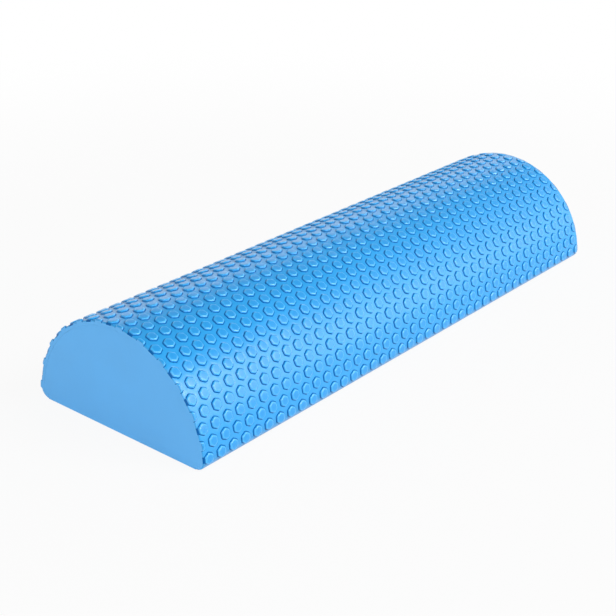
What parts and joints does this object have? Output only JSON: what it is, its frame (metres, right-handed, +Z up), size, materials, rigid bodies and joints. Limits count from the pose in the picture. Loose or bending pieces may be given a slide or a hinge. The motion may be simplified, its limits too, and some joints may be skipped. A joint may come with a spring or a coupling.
{
  "type": "half round foam roller",
  "caption": "Half round exercise roller of closed-cell foam, flat underneath, with low six-sided studs in staggered rows over its curved side and smooth half round ends.",
  "frame": {"origin": "middle of the flat underside", "axes": "+X along the roller's length, +Y across it, +Z up from the flat underside to the crown of the curved side"},
  "size_m": [0.45, 0.149, 0.0748],
  "materials": {
    "core_foam": "matte",
    "studded_foam": "satin",
    "plain_foam": "matte",
    "smooth_foam": "satin"
  },
  "bodies": {
    "root": {"foam_core": "core_foam", "studded_wrap": "studded_foam", "base_sheet": "plain_foam", "end_panel_left": "smooth_foam", "end_panel_right": "smooth_foam"}
  },
  "joints": []
}
